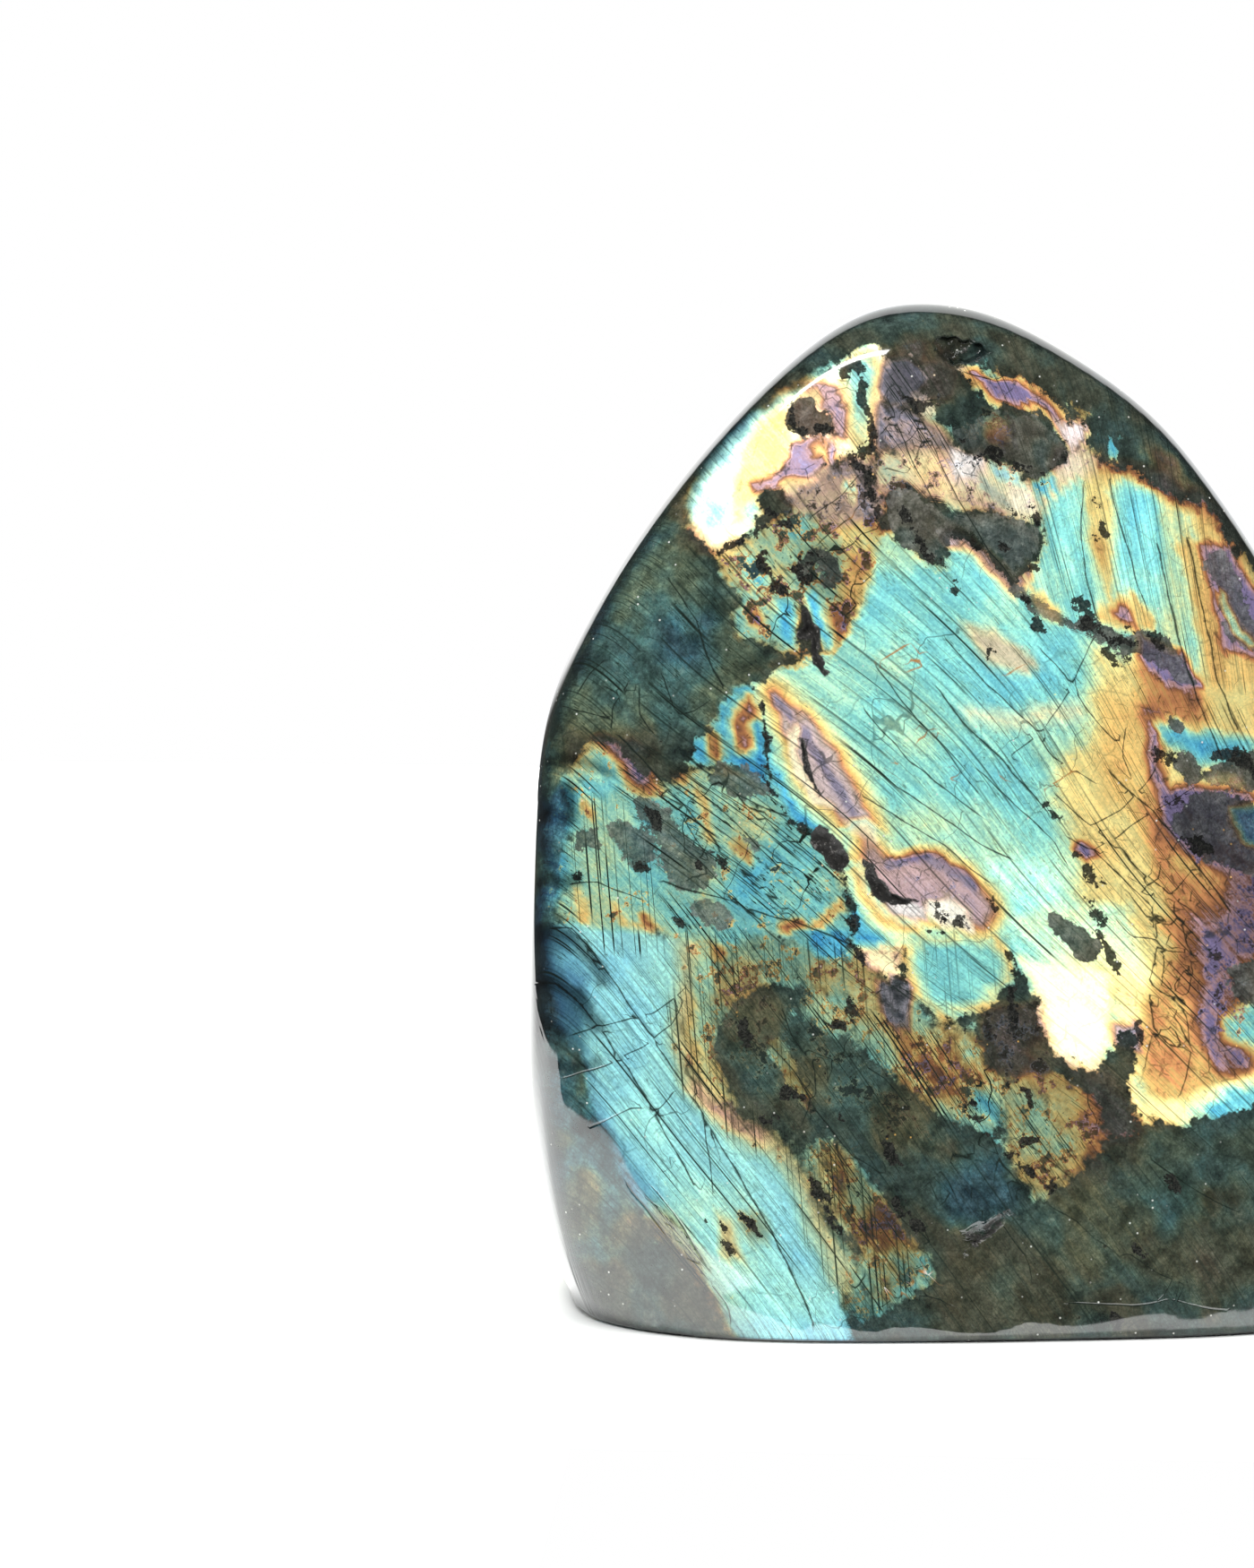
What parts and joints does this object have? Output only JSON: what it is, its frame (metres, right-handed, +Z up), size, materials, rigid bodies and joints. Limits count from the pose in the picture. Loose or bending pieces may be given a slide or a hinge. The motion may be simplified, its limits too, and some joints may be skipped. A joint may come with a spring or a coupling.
{
  "type": "labradorite freeform",
  "caption": "Polished freestanding labradorite stone with a domed front face, rounded shoulders, small natural hollows and a sawn flat base.",
  "frame": {"origin": "middle of the stone's bounding box, on the plane of the sawn base", "axes": "+Z up, the domed front face towards -Y, the stone's width along X"},
  "size_m": [0.125, 0.0642, 0.15],
  "materials": {
    "polished_labradorite": "high polish, grey-green feldspar with blue-green, gold and violet flash"
  },
  "bodies": {
    "root": {"labradorite_freeform": "polished_labradorite"}
  },
  "joints": []
}
